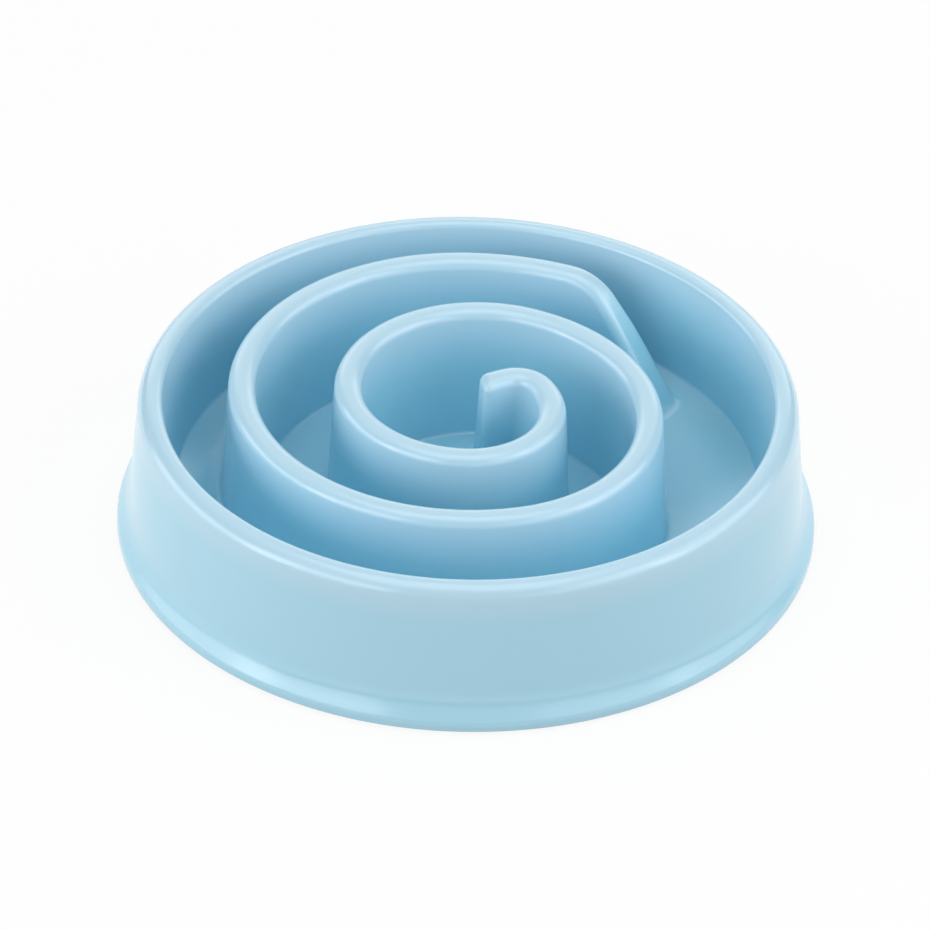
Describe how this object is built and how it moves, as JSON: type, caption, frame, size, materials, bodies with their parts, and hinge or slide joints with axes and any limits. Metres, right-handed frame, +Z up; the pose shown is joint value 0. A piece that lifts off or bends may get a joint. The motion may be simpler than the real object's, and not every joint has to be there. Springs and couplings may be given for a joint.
{
  "type": "slow feeder bowl",
  "caption": "Round low pet bowl with a flared skirt and a tall spiral ridge rising from its dished floor, so that an animal has to lick food out of one long winding channel.",
  "frame": {"origin": "on the table, under the bowl's axis", "axes": "+Z up along the bowl's axis, -Y towards the viewer of the picture, +X to that viewer's right"},
  "size_m": [0.2, 0.2, 0.0445],
  "materials": {
    "shell_plastic": "smooth semi-gloss moulded polypropylene, light sky blue",
    "foot_rubber": "soft matt grey rubber"
  },
  "bodies": {
    "root": {"bowl_shell": "shell_plastic", "foot_rear_right": "foot_rubber", "foot_rear_left": "foot_rubber", "foot_front_left": "foot_rubber", "foot_front_right": "foot_rubber"}
  },
  "joints": []
}
